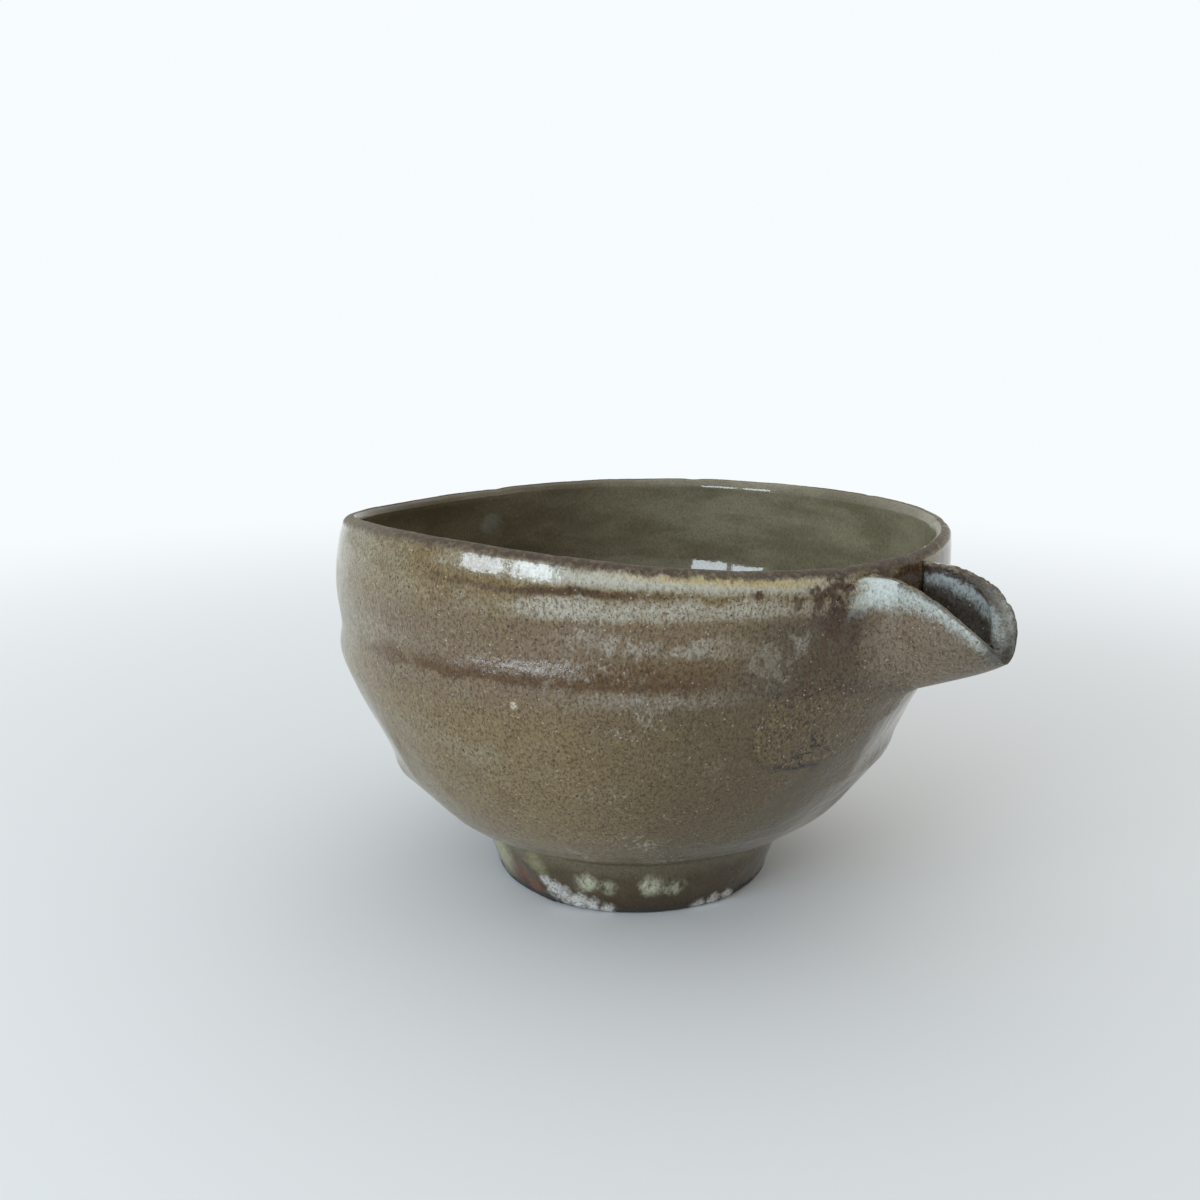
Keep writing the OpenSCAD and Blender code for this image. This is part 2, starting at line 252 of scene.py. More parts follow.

# %% [markdown]
# ## The bowl
# A section wire is spun round the axis, merged where it meets itself, and only then moved by
# the hand's functions, point by point. A lathe-like spin gives even rows to move; sculpting a
# sphere would not keep the wall's two skins parallel.
# Four attributes are kept on the points for the glaze: the drop below the lip, the inside,
# where the knife pared, and the ridges between its cuts, where a pale highlight is painted.

# %% Spin a section
def spin_section(wire, turns, closed=False):
    bm = bmesh.new()
    points = [bm.verts.new((r, 0, z)) for r, z in wire]
    pairs = list(zip(points, points[1:])) + ([(points[-1], points[0])] if closed else [])
    edges = [bm.edges.new(pair) for pair in pairs]
    bmesh.ops.spin(bm, geom=points + edges, axis=(0, 0, 1), cent=(0, 0, 0), dvec=(0, 0, 0),
                   angle=2 * pi, steps=turns, use_merge=True)
    bmesh.ops.remove_doubles(bm, verts=bm.verts, dist=0.002)
    bmesh.ops.recalc_face_normals(bm, faces=bm.faces)
    return bm


def steps(start, end, count, crowd=1.0):
    return [mix(start, end, (k / count) ** crowd) for k in range(count + 1)]


def turned(p):
    return degrees(atan2(p.y, p.x)), hypot(p.x, p.y), p.z


bowl_turns, foot_turns = 440, 400
top_r, top_z = outer_r(bowl_h - lip_round), bowl_h - lip_round
bowl_wire = [(r, foot_h - base_drop * (1 - (r / hollow_r) ** 2)) for r in steps(0, hollow_r, 12)[:-1]]
bowl_wire += [(r, foot_h) for r in steps(hollow_r, seat_r, 6)]
bowl_wire += [(outer_r(z), z) for z in steps(foot_h, belly_z, 74, 1.5)[1:]]
bowl_wire += [(outer_r(z), z) for z in steps(belly_z, top_z, 24)[1:]]
lip_arc = steps(0, 180, 18)[1:-1]
bowl_wire += [(top_r - lip_round * (1 - cosd(t)), top_z + lip_round * sind(t)) for t in lip_arc]
bowl_wire += [(inner_r(z), z) for z in steps(well_z, top_z, 62, 1.5)[::-1]]
bowl = spin_section(bowl_wire, bowl_turns)
print("bowl section", len(bowl_wire), "points,", len(bowl.faces), "faces")

# %% Move the wall by hand
layers = bowl.verts.layers.float
kept_on_bowl = ("below_lip", "inside", "pared", "ridge")
for name in kept_on_bowl:
    layers.new(name)
below_lip, inside, knife, crest_highlight = (layers[name] for name in kept_on_bowl)
for v in bowl.verts:
    a, r, z = turned(v.co)
    within = r < (outer_r(z) + inner_r(z)) / 2 and z > foot_h + 1
    v[below_lip], v[inside] = bowl_h - z, float(within)
    v[knife], v[crest_highlight] = (0.0, 0.0) if within else (pared(a, z), ridge_highlight(a, z))
    if z <= foot_h + 0.01:
        continue
    move = 0.5 * groove(a, z) if within else groove(a, z) + facet(a, z) + ripple(a, z)
    move += lumps(v.co, 3.0 if within else 11.0) * ease(foot_h, foot_h + 6, z) * (-0.6 if within else 1)
    v.co = warp(a, r + move, z)
    v.co.z -= lip_wear(a) * ease(bowl_h - 3.2, bowl_h, z)
print("bowl stands", round(max(v.co.z for v in bowl.verts), 2), "mm high")

# %% [markdown]
# ## The pour hole
# Behind the beak a round hole lets the sake out. It was pushed through the damp wall with a
# stick, and the glaze rounded its edges. The faces in its way are deleted from both skins, the
# two ragged rims are drawn onto a circle, and the rims are bridged. A boolean would leave
# slivers that catch the light; this keeps quads all round.

# %% Cut the pour hole
pour_z, pour_r, pour_edge = 59.0, 6.0, 0.6


def from_hole(p):
    return hypot(p.y, p.z - pour_z) if p.x > 0 else 99.0


def draw_to(v, reach):
    out = reach / from_hole(v.co)
    v.co.y, v.co.z = v.co.y * out, pour_z + (v.co.z - pour_z) * out


doomed = [f for f in bowl.faces if from_hole(f.calc_center_median()) < pour_r + 0.2]
bmesh.ops.delete(bowl, geom=doomed, context="FACES")
rims = [e for e in bowl.edges if e.is_boundary]
for v in {v for e in rims for v in e.verts}:
    draw_to(v, pour_r + pour_edge)
near = [v for v in bowl.verts if not v.is_boundary and from_hole(v.co) < pour_r + 4]
for _ in range(8):
    bmesh.ops.smooth_vert(bowl, verts=near, factor=0.5, use_axis_y=True, use_axis_z=True)
sides = bmesh.ops.bridge_loops(bowl, edges=rims)["edges"]
cut = bmesh.ops.subdivide_edges(bowl, edges=sides, cuts=6, use_grid_fill=True)["geom_inner"]
hole_wall = [v for v in cut if isinstance(v, bmesh.types.BMVert)]
skins = (inner_r(pour_z) + 0.5, outer_r(pour_z) + 0.2)
for v in hole_wall:
    way = ease(0.0, 1.2, min(abs(v.co.x - x) for x in skins))
    draw_to(v, mix(pour_r + pour_edge, pour_r, way))
bmesh.ops.recalc_face_normals(bowl, faces=bowl.faces)
print("pour hole rims", len(rims), "edges, wall", len(hole_wall), "points")

# %% [markdown]
# ## The foot ring
# The foot was turned from a thick base, so it is another spin, of a closed section. Its face on
# the table stays flat and its inside nearly plain. The outside was trimmed by eye: fat rolls of
# glaze hang on it, crusts of kiln wadding stick to its bottom edge, and one scar shows where the
# ring was lifted off its stand.

# %% Spin the foot ring
foot_base_r, arris, line, rest_w = 28.7, 1.6, 0.6, 5
rest_r = foot_base_r - arris
line_z = foot_h - line
side_r = mix(foot_base_r, seat_r, line_z / foot_h)
foot_corners = [(rest_r + arris * sind(t), arris * (1 - cosd(t))) for t in steps(0, 90, 8)]
foot_corners += [
    (side_r, line_z - line), (side_r - line, line_z), (seat_r - 0.25, foot_h - 0.3), (seat_r - 0.6, foot_h),
    (hollow_r, foot_h), (rest_r - rest_w, 0)]


def walk(corners, step):
    path = []
    for (r0, z0), (r1, z1) in zip(corners, corners[1:] + corners[:1]):
        count = max(1, round(hypot(r1 - r0, z1 - z0) / step))
        path += [(mix(r0, r1, k / count), mix(z0, z1, k / count)) for k in range(count)]
    return path


foot_ring = spin_section(walk(foot_corners, 0.42), foot_turns, closed=True)
print("foot ring", len(foot_ring.faces), "faces")

# %% Trim, glaze rolls and wadding
# Each roll and the scar: angle, width in degrees, middle, half height, depth
glaze_rolls = [(-63, 7.0, 7.2, 2.1, 0.45), (-38, 7.5, 7.0, 2.3, 0.5), (74, 9.0, 6.0, 2.0, 0.35),
               (150, 8.0, 6.6, 2.2, 0.4)]
scar = (-93, 8, 4, 2.6, 0.35)
# Each crust: angle, width in degrees, height
waddings = [(-79, 7, 4.6), (-68, 6, 2.6), (-59, 5, 1.5), (-8, 6, 1.6), (95, 8, 3.0), (172, 9, 2.4)]


def dome(a, z, at, wide, mid, tall, deep):
    return deep * exp(-(round_about(a, at) / wide) ** 2 - ((z - mid) / tall) ** 2)


def crust(a, z):
    return max(exp(-(round_about(a, at) / wide) ** 2) * (1 - ease(0.6 * high, high + 0.6, z))
               for at, wide, high in waddings)


for v in foot_ring.verts:
    a, r, z = turned(v.co)
    free = ease(0.0, 1.2, z) * (1 - ease(foot_h - 1.2, foot_h, z))
    if r < mix(rest_r - rest_w, hollow_r, z / foot_h) + 0.6:
        move = 0.25 * noise.noise(v.co / 6) * free
    elif r < rest_r:
        continue
    else:
        move = (0.22 * noise.noise(v.co / 9) + 0.1 * noise.noise(v.co / 3) - 0.1) * free
        move += sum(dome(a, z, *roll) for roll in glaze_rolls)
        move += crust(a, z) * (0.3 + 0.35 * noise.noise(v.co * 1.4)) * ease(0.0, 0.5, z)
        move -= dome(a, z, *scar)
    v.co.x, v.co.y = v.co.x * (r + move) / r, v.co.y * (r + move) / r
print("foot ring reaches", round(max(turned(v.co)[1] for v in foot_ring.verts), 2), "mm from the axis")

# %% [markdown]
# ## Where the joints sit
# The beak and its clay sit on the moved wall, so they ask for the wall's X at a given place.
# The hand's moves can't be undone in one step. A few rounds of guess and correction find the
# turned angle and height that end up there.

# %% Find the wall
slip, rounds = 0.14, 6


def wall_r(a, z):
    return outer_r(z) + groove(a, z) + facet(a, z)


def wall_x(y, z):
    plain, a = z, degrees(asin(y / belly_r))
    for _ in range(rounds):
        across = (y - lean(plain)) / wall_r(a, plain)
        plain, a = z - share(plain) ** 2 * rim_rise(a), degrees(asin(max(-1, min(1, across))))
    return wall_r(a, plain) * cosd(a) + lean(plain) + slip


print("wall behind the beak at X", round(wall_x(0, pour_z), 2))

# %% [markdown]
# ## The beak
# A thin sheet of clay was folded into a trough and cut with a knife. Its section is a U that
# narrows to a blunt nose while its edges fall and its keel climbs. The far edge was cut fuller.
# One closed section is drawn at the root and extruded station by station, and each new row is
# put in its place. That follows the fold better than bending a straight channel would.

# %% The folded trough
beak_w, beak_wall = 18.4, 2.2
edge_top, keel_low, tip_z = 70.4, 48.4, 58.2
root_x, beak_long = 60.5, 19.4
tip_x = wall_x(0, pour_z) - slip + beak_long
near_bow, far_bow = 1.7, 1.9
fall_start, narrow_start = 0.18, 0.35  # shares of the length where the edges fall and the sides close
fold, fold_steps = 1.75, 84
beak_rows, nose_start = 78, 0.985


def beyond(s, start):
    return max(0.0, (s - start) / (1 - start))


def edge_z(s, bow):
    return tip_z + (edge_top - tip_z) * max(0.0, 1 - beyond(s, fall_start) ** bow) ** (1 / bow)


def keel_z(s):
    return mix(keel_low, tip_z - 0.4 * beak_wall, s) + 0.4 * beak_wall * s ** 8


def half_w(s):
    return beak_w / 2 * sqrt(max(0.0, 1 - beyond(s, narrow_start) ** 3))


def trough_yz(s, t, skin):
    w = max(beak_wall / 3, half_w(s) - skin * beak_wall)
    z = min(keel_z(s) + skin * 1.15 * beak_wall, edge_z(s, near_bow) - beak_wall / 6)
    top = edge_z(s, far_bow if t < 90 else near_bow)
    n, c = 2 / fold, cosd(t)
    return w * (1 if c > 0 else -1) * abs(c) ** n, top - (top - z) * max(0.0, sind(t)) ** n


def trough_point(s, t, skin):
    y0, z0 = trough_yz(0, t, skin)
    y, z = trough_yz(s, t, skin)
    return Vector((mix(wall_x(y0, z0), tip_x - skin * 1.6 * beak_wall, s), y, z))


def trough_ring(s):
    turns = steps(0, 180, fold_steps)
    outside = [trough_point(s, t, 0) for t in turns]
    within = [trough_point(s, t, 1) for t in turns[::-1]]
    crown = []
    for a, b in ((outside[-1], within[0]), (within[-1], outside[0])):
        crown.append([a.lerp(b, k / 5) + Vector((0, 0, 0.3 * sind(180 / 5 * k))) for k in range(1, 5)])
    return outside + crown[0] + within + crown[1]


print("beak tip at X", round(tip_x, 2))

# %% Loft by extruding a ring
def loft(rings, marks):
    # The marks ride along each row: the trough's inside, or the clay's hem
    bm = bmesh.new()
    within = bm.verts.layers.float.new("within")
    row = [bm.verts.new(p) for p in rings[0]]
    count = len(row)
    for v, mark in zip(row, marks):
        v[within] = mark
    edges = [bm.edges.new((row[k], row[(k + 1) % count])) for k in range(count)]
    for ring in rings[1:]:
        made = bmesh.ops.extrude_edge_only(bm, edges=edges)["geom"]
        fresh = {v for v in made if isinstance(v, bmesh.types.BMVert)}
        row = [next(e.other_vert(v) for e in v.link_edges if e.other_vert(v) in fresh) for v in row]
        for v, p in zip(row, ring):
            v.co = p
        edges = [bm.edges.get((row[k], row[(k + 1) % count])) for k in range(count)]
    return bm, row


def close_ends(bm):
    open_edges = [e for e in bm.edges if e.is_boundary]
    caps = bmesh.ops.holes_fill(bm, edges=open_edges, sides=0)["faces"]
    bmesh.ops.triangulate(bm, faces=caps)
    bmesh.ops.remove_doubles(bm, verts=bm.verts, dist=0.001)
    bmesh.ops.recalc_face_normals(bm, faces=bm.faces)


stations = [1 - (1 - k / beak_rows) ** 1.5 for k in range(beak_rows)]
rings = [trough_ring(s * nose_start) for s in stations] + [trough_ring(nose_start)]
nose = Vector((tip_x - 0.75 * beak_wall, 0, tip_z - 0.2))
rings += [[p.lerp(nose, f) for p in rings[-1]] for f in (0.25, 0.5, 0.75, 0.9)]
crown_marks = [0.2, 0.4, 0.6, 0.8]
marks = [0.0] * (fold_steps + 1) + crown_marks + [1.0] * (fold_steps + 1) + crown_marks[::-1]
beak, last_row = loft(rings, marks)
bmesh.ops.pointmerge(beak, verts=last_row, merge_co=nose)
close_ends(beak)
print("beak", len(beak.faces), "faces")

# %% Tear the cut edges
tears = ((3.1, 0.3), (1.1, 0.3), (0.45, 0.16))  # length, depth
for v in beak.verts:
    s = max(0.0, min(1.0, (v.co.x - root_x) / (tip_x - root_x)))
    down = edge_z(s, far_bow if v.co.y > 0 else near_bow) - v.co.z
    near_edge = exp(-max(0.0, down) / 1.1) * ease(0.0, 0.12, s)
    p = Vector((v.co.x, 40 if v.co.y > 0 else 0, 0))
    torn = 0.25 + sum(deep * noise.noise(p / wide) for wide, deep in tears)
    v.co.z -= near_edge * max(0.0, torn)
    v.co.y += 0.14 * noise.noise(v.co / 4) + 0.12 * near_edge * noise.noise(v.co / 0.7)
print("beak reaches X", round(max(v.co.x for v in beak.verts), 2))

# %% [markdown]
# ## The luting clay
# Soft clay was pressed round the beak's root and rubbed out over the wall with a thumb. Above,
# it was rubbed until it vanished into the wall. Below, on the viewer's side, it hangs as an
# apron with a visible edge and a few drying cracks.
# Each section goes out along the wall, back over the clay's top and down the beak's side, and
# the sections are lofted round the beak. The loft marks the hem, where a shadow line is painted.

# %% Smear the clay
collar, apron, apron_at, apron_sag = 4, 20, 142, 3.4  # reach round the beak and below it
hem, vanished = 0.95, -0.2  # the clay's thickness at its edge
clay_climb, clay_tuck = 0.26, 0.29  # shares of the beak's length that it covers
wall_steps = 24


def smear_reach(t):
    ragged = 0.8 * noise.noise(Vector((t / 9, 3, 0))) + 0.4 * noise.noise(Vector((t / 3, 7, 0)))
    return collar + apron * max(0.0, cosd(t - apron_at)) ** 9 + ragged * ease(0, 30, t)


def smear_edge(t):
    return mix(hem, vanished, ease(139, 155, t)) if t > 90 else mix(vanished, hem, ease(20, 80, t))


def smear_foot(t, q, sink):
    y, z = trough_yz(0, t, 0)
    d = q * smear_reach(t)
    y, z = y + d * cosd(t), z - d * sind(t) - apron_sag * q * q * cosd(t) ** 4
    foot = Vector((wall_x(y, z), y, z))
    out = Vector((foot.x, foot.y, 0)).normalized()
    return foot - out * sink, out


def smear_top(t, u):
    q = u ** 1.7
    foot, out = smear_foot(t, q, 0)
    root, root_out = smear_foot(t, 0, 0)
    climb = trough_point(clay_climb, t, 0) - root
    height = mix(smear_edge(t), climb.length, (1 - u) ** 2.6)
    thumb = 0.22 * noise.noise(foot / 5 + Vector((0, 0, t / 40))) * q * (1 - q) * 4
    ends = mix(0.5, 1.0, ease(0, 14, min(t, 180 - t)))
    miss = climb - root_out * climb.length
    rounded = -1.1 * ease(1 - 0.5 / smear_reach(t), 1.0, q)
    return foot + out * ((height + thumb) * mix(1.0, ends, u) + rounded) + miss * (1 - u) ** 3


def smear_ring(t):
    along = [smear_foot(t, q, 0.7)[0] for q in steps(0, 1, wall_steps)]
    over = [smear_top(t, 1 - u) for u in steps(0, 1, 50, 1.3)]
    down = [trough_point(clay_tuck * (1 - f), t, mix(0.1, 0.3, f)) for f in steps(0, 1, 8)]
    return along + over + down


rings = [smear_ring(t) for t in steps(0, 180, 160)]
marks = [0.0] * (wall_steps + 1) + [1.0, 1.0, 1.0, 1.0, 0.5]
marks += [0.0] * (len(rings[0]) - len(marks))
luting_clay, _ = loft(rings, marks)
close_ends(luting_clay)
print("luting clay", len(luting_clay.faces), "faces")

# %% [markdown]
# ## A bench for the glazes
# A fired glaze is many thin layers: a ground, drifts of ash, iron specks, milky runs. In
# Blender each layer is a mask that lets one colour over another. A small class keeps such a
# recipe short: it puts a node down, feeds it, and gives back the socket to use next.

# %% Node helpers
class Bench:
    def __init__(self, tree):
        self.tree = tree

    def put(self, kind, feeds=(), **settings):
        node = self.tree.nodes.new("ShaderNode" + kind)
        count = len(self.tree.nodes)
        node.location = (190 * (count % 10), -260 * (count // 10))
        for name, value in settings.items():
            setattr(node, name, value)
        for key, value in dict(feeds).items():
            self.feed(node.inputs[key], value)
        return node

    def feed(self, socket, value):
        if isinstance(value, bpy.types.NodeSocket):
            self.tree.links.new(value, socket)
        else:
            socket.default_value = value

    def math(self, operation, a, b=0, c=0):
        return self.put("Math", {0: a, 1: b, 2: c}, operation=operation).outputs[0]

    def line(self, value, slope, start):
        return self.math("MULTIPLY_ADD", value, slope, start)

    def less(self, a, b):
        return self.math("SUBTRACT", a, b)

    def times(self, first, *masks):
        for mask in masks:
            first = self.math("MULTIPLY", first, mask)
        return first

    def most(self, first, *masks):
        for mask in masks:
            first = self.math("MAXIMUM", first, mask)
        return first

    def rise(self, value, low, high):
        feeds = {"Value": value, "From Min": low, "From Max": high}
        return self.put("MapRange", feeds, interpolation_type="SMOOTHSTEP").outputs[0]

    def side(self, angle, at, low, high):
        return self.rise(self.math("COSINE", self.math("RADIANS", self.less(angle, at))), low, high)

    def tint(self, mask, under, over, blend="MIX"):
        feeds = {0: mask, 6: under, 7: over}
        return self.put("Mix", feeds, data_type="RGBA", blend_type=blend).outputs[2]

    def lay(self, mask, strength, under, over):
        return self.tint(self.times(mask, strength), under, over)

    def place(self, stretch=(1, 1, 1)):
        spot = self.put("TexCoord").outputs["Object"]
        return self.put("VectorMath", {0: spot, 1: stretch}, operation="MULTIPLY").outputs[0]

    def clouds(self, scale, detail=2, rough=0.5, stretch=(1, 1, 1)):
        feeds = {"Vector": self.place(stretch), "Scale": scale, "Detail": detail, "Roughness": rough}
        return self.put("TexNoise", feeds).outputs[0]

    def ragged(self, *clouds):
        return self.less(self.clouds(*clouds), 0.5)

    def use(self, group, **feeds):
        named = {key.replace("_", " "): value for key, value in feeds.items()}
        return self.put("Group", named, node_tree=group).outputs

    def kept(self, name):
        return self.put("Attribute", attribute_name=name).outputs["Fac"]


def make_group(name, inputs, outputs):
    tree = bpy.data.node_groups.new(name, "ShaderNodeTree")
    for label, value in inputs.items():
        size = len(value) if isinstance(value, tuple) else 1
        kind = {1: "NodeSocketFloat", 3: "NodeSocketVector", 4: "NodeSocketColor"}[size]
        tree.interface.new_socket(name=label, in_out="INPUT", socket_type=kind).default_value = value
    for label in outputs:
        kind = "NodeSocketColor" if label == "Colour" else "NodeSocketFloat"
        tree.interface.new_socket(name=label, in_out="OUTPUT", socket_type=kind)
    given, out = tree.nodes.new("NodeGroupInput").outputs, tree.nodes.new("NodeGroupOutput").inputs
    return tree, Bench(tree), given, out


print("bench ready")

# %% [markdown]
# ## Place, specks, bands and spots
# These groups are shared by the glazes. They read Object coordinates, and every piece sits at
# the origin, so a layer that starts on the bowl runs on over the clay and the beak.
# Angles are degrees from the beak and heights are millimetres above the table.

# %% Group: where a point is on the turned form
IN_MM = (1000, 1000, 1000)
turned_place, b, _, out = make_group("turned_place", {}, ("Angle", "Height", "Radius", "Fire Side"))
x, y, z = b.put("SeparateXYZ", {0: b.place(IN_MM)}).outputs
angle = b.math("ARCTAN2", y, x)
b.feed(out["Angle"], b.math("DEGREES", angle))
b.feed(out["Height"], z)
b.feed(out["Radius"], b.math("SQRT", b.line(x, x, b.times(y, y))))
low = b.times(b.rise(z, 56, 24), 0.2)
fire = b.math("COSINE", b.math("ADD", angle, radians(20)))
b.feed(out["Fire Side"], b.line(fire, 0.55, b.math("ADD", low, 0.4)))

# %% Group: specks of one kind
specks, b, given, out = make_group("specks", {"Scale": 700, "Share": 0.4, "Size": 0.25}, ("Mask",))
cells = b.put("TexVoronoi", {"Vector": b.place(), "Scale": given["Scale"]}).outputs
pick = b.put("SeparateColor", {0: cells["Color"]}).outputs
size = b.times(given["Size"], b.math("ADD", pick[1], 0.5))
dot = b.rise(cells["Distance"], size, b.times(size, 0.35))
b.feed(out["Mask"], b.times(dot, b.math("LESS_THAN", pick[0], given["Share"])))

# %% Group: a veil of glaze round the wall
glaze_band, b, given, out = make_group(
    "glaze_band",
    {"Angle": 0, "Height": 0, "Middle": 60, "Half Width": 2, "Slope": 0, "Start": -60,
     "End": -20, "Streaks": 0.5}, ("Mask",))
grain, drift = b.ragged(1000, 4, 0.75, (1, 1, 0.6)), b.ragged(110, 4, 0.6, (1, 1, 1.6))
level = b.line(given["Slope"], b.math("ADD", given["Angle"], 45), given["Middle"])
level = b.line(drift, 3, level)
off = b.math("DIVIDE", b.math("ABSOLUTE", b.less(given["Height"], level)), given["Half Width"])
uneven = b.math("ADD", b.times(grain, 2.6), b.times(drift, 2.6))
veil = b.line(uneven, given["Streaks"], b.rise(off, 2, 0.2))
turn = b.line(b.math("ADD", drift, grain), 26, given["Angle"])
start = b.rise(b.less(turn, given["Start"]), -10, 10)
end = b.rise(b.less(turn, given["End"]), 8, -8)
b.feed(out["Mask"], b.times(b.rise(veil, 0.25, 1.15), start, end))

# %% Group: one spot of glaze
glaze_spot, b, given, out = make_group(
    "glaze_spot", {"Centre": (0, 0, 0), "Size": 1, "Ragged": 0.5, "Grain": 700.0}, ("Mask",))
ends = {0: b.place(IN_MM), 1: given["Centre"]}
away = b.put("VectorMath", ends, operation="DISTANCE").outputs["Value"]
rag = b.times(b.ragged(given["Grain"], 3, 0.6), given["Ragged"])
b.feed(out["Mask"], b.rise(b.line(rag, 4, b.math("DIVIDE", away, given["Size"])), 1.3, 0.35))

# %% Group: where a point is on the beak
beak_place, b, _, out = make_group("beak_place", {}, ("Below Edge", "Along"))
x, y, z = b.put("SeparateXYZ", {0: b.place(IN_MM)}).outputs
along = b.math("DIVIDE", b.less(x, root_x), tip_x - root_x)
fall = b.math("DIVIDE", b.less(along, fall_start), 1 - fall_start)
fall = b.most(0, b.math("MINIMUM", 1, fall))
bow = b.line(b.math("GREATER_THAN", y, 0), far_bow - near_bow, near_bow)
curve = b.math("POWER", b.less(1, b.math("POWER", fall, bow)), b.math("DIVIDE", 1, bow))
sag = b.math("DIVIDE", b.most(0, b.less(b.math("ABSOLUTE", y), beak_w / 2)), 6.3)
edge = b.line(curve, edge_top - tip_z, b.line(b.times(sag, sag), -apron_sag, tip_z))
b.feed(out["Below Edge"], b.less(edge, z))
b.feed(out["Along"], along)
print("groups", [g.name for g in bpy.data.node_groups])

# %% [markdown]
# ## The ash ground and its grain
# The ground of the glaze is olive-grey where ash lay thick and brown on the side that faced the
# fire. A fine grain lies over every colour of the glaze, with dark iron specks and pale grains of
# sand, so it is a group of its own that takes the finished colour and breaks it up.

# %% Group: ash ground
STAIN, GRIT, FROST = (0.62, 0.48, 0.36, 1), (0.45, 0.37, 0.28, 1), (1.5, 1.5, 1.46, 1)
SAND, RUST, IRON = (0.56, 0.52, 0.43, 1), (0.050, 0.034, 0.020, 1), (0.026, 0.018, 0.012, 1)

ash_ground, b, given, out = make_group(
    "ash_ground",
    {"Olive": (0.268, 0.240, 0.162, 1), "Brown": (0.205, 0.152, 0.074, 1), "Fire Side": 0.5}, ("Colour",))
drift = b.clouds(40, 4, 0.6, (1, 1, 2.2))
warm = b.rise(b.line(b.less(given["Fire Side"], 0.5), 0.6, drift), 0.3, 0.7)
colour = b.tint(warm, given["Olive"], given["Brown"])
stain = b.rise(b.clouds(210, 4, 0.65, (1, 1, 1.3)), 0.5, 0.72)
b.feed(out["Colour"], b.tint(b.times(stain, 0.5), colour, STAIN, "MULTIPLY"))

# %% Group: grain of the glaze
glaze_grain, b, given, out = make_group(
    "glaze_grain", {"Under": (0.3, 0.25, 0.17, 1), "Grit": 1, "Specks": 0.5, "Grains": 0.2},
    ("Colour", "Height"))
grit = b.clouds(2300, 3, 0.75, (1, 1, 0.7))
frost = b.clouds(1300, 3, 0.75, (1, 1, 0.8))
colour = b.tint(b.times(b.rise(grit, 0.56, 0.36), given["Grit"]), given["Under"], GRIT, "MULTIPLY")
colour = b.tint(b.times(b.rise(frost, 0.5, 0.72), given["Grit"], 0.9), colour, FROST, "MULTIPLY")
grain = b.use(specks, Scale=1600, Share=given["Grains"], Size=0.24)["Mask"]
colour = b.tint(b.times(grain, given["Grit"], 0.6), colour, SAND)
fine = b.use(specks, Scale=2200, Share=given["Specks"], Size=0.3)["Mask"]
colour = b.tint(b.times(fine, given["Grit"], 0.8), colour, RUST)
iron = b.use(specks, Scale=1000, Share=b.times(given["Specks"], 0.4), Size=0.22)["Mask"]
b.feed(out["Colour"], b.lay(iron, given["Grit"], colour, IRON))
height = b.line(grain, 0.35, b.line(grit, 0.3, b.times(frost, 0.45)))
b.feed(out["Height"], b.line(iron, -0.3, height))

# %% Group: skin of the glaze
glaze_skin, b, given, out = make_group("glaze_skin", {"Ground": 0, "Grit": 1.0}, ("Height", "Roughness"))
peel, dimple = b.clouds(330), b.clouds(1000)
pits = b.use(specks, Scale=420, Share=0.07, Size=0.22)["Mask"]
height = b.line(given["Ground"], given["Grit"], b.line(peel, 0.9, b.times(dimple, 0.35)))
b.feed(out["Height"], b.line(pits, -0.8, height))
b.feed(out["Roughness"], b.line(b.clouds(260, 3), 0.2, 0.06))
print("ground and skin ready")

# %% [markdown]
# ## The glaze of the wall
# Round the wall run a purple-brown blush, a dark amber line that came to rest nearly level below
# the throwing groove, milky veils below the lip on the beak's side, a breath of ochre in the
# upper one and brown blotches. Round and below the beak the wall is darkened with painted shade,
# and the largest blotch, at the beak's root, is painted shade as well.
# The luting clay was glazed with the bowl, so both use this group and no seam shows.

# %% Group: wall glaze
CREAM, MILK, OCHRE = (0.50, 0.50, 0.43, 1), (0.43, 0.42, 0.36, 1), (0.50, 0.39, 0.17, 1)
AMBER, BLOTCH, SHADE = (0.092, 0.044, 0.009, 1), (0.070, 0.038, 0.022, 1), (0.098, 0.070, 0.030, 1)
PURPLE, GREY, SALT = (0.170, 0.117, 0.076, 1), (0.086, 0.063, 0.029, 1), (0.74, 0.71, 0.60, 1)
DEEP_SHADE, TEAL = (0.070, 0.049, 0.026, 1), (0.030, 0.037, 0.032, 1)
RAGGED = {SALT: 0.3, TEAL: 0.6, BLOTCH: 1, MILK: 1.6, AMBER: 1.6}

wall_glaze, b, given, out = make_group("wall_glaze", {"Pared": 0.0}, ("Colour", "Height"))
at = b.use(turned_place)
turn, up = at["Angle"], at["Height"]
colour = b.use(ash_ground, Fire_Side=at["Fire Side"])["Colour"]
# Painted shade: the first mask darkens the wall round and below the beak, the second darkens it more beside
# and below the beak's root
shade = b.times(b.rise(turn, -64, -32), b.rise(turn, 70, 20), b.rise(up, 64, 51))
deep_shade = b.times(b.rise(turn, -38, -22), b.rise(turn, 40, 15), b.rise(up, 67.5, 63.5),
               b.rise(up, 49.5, 53.5))


def band(middle, half, slope, start, end, streaks):
    return b.use(glaze_band, Angle=turn, Height=up, Middle=middle, Half_Width=half, Slope=slope,
                 Start=start, End=end, Streaks=streaks)["Mask"]


# Height above the line where the amber came to rest
above = b.line(b.ragged(300, 5, 0.75), 3.4, b.less(up, b.line(turn, 0.012, 58.4)))
pool = b.times(b.rise(above, -3.9, -2.7), b.rise(above, 1.3, -2.6), b.rise(turn, -106, -92),
               b.rise(turn, -28, -40), b.rise(b.clouds(130, 4, 0.6, (1, 1, 1.8)), 0.2, 0.48))
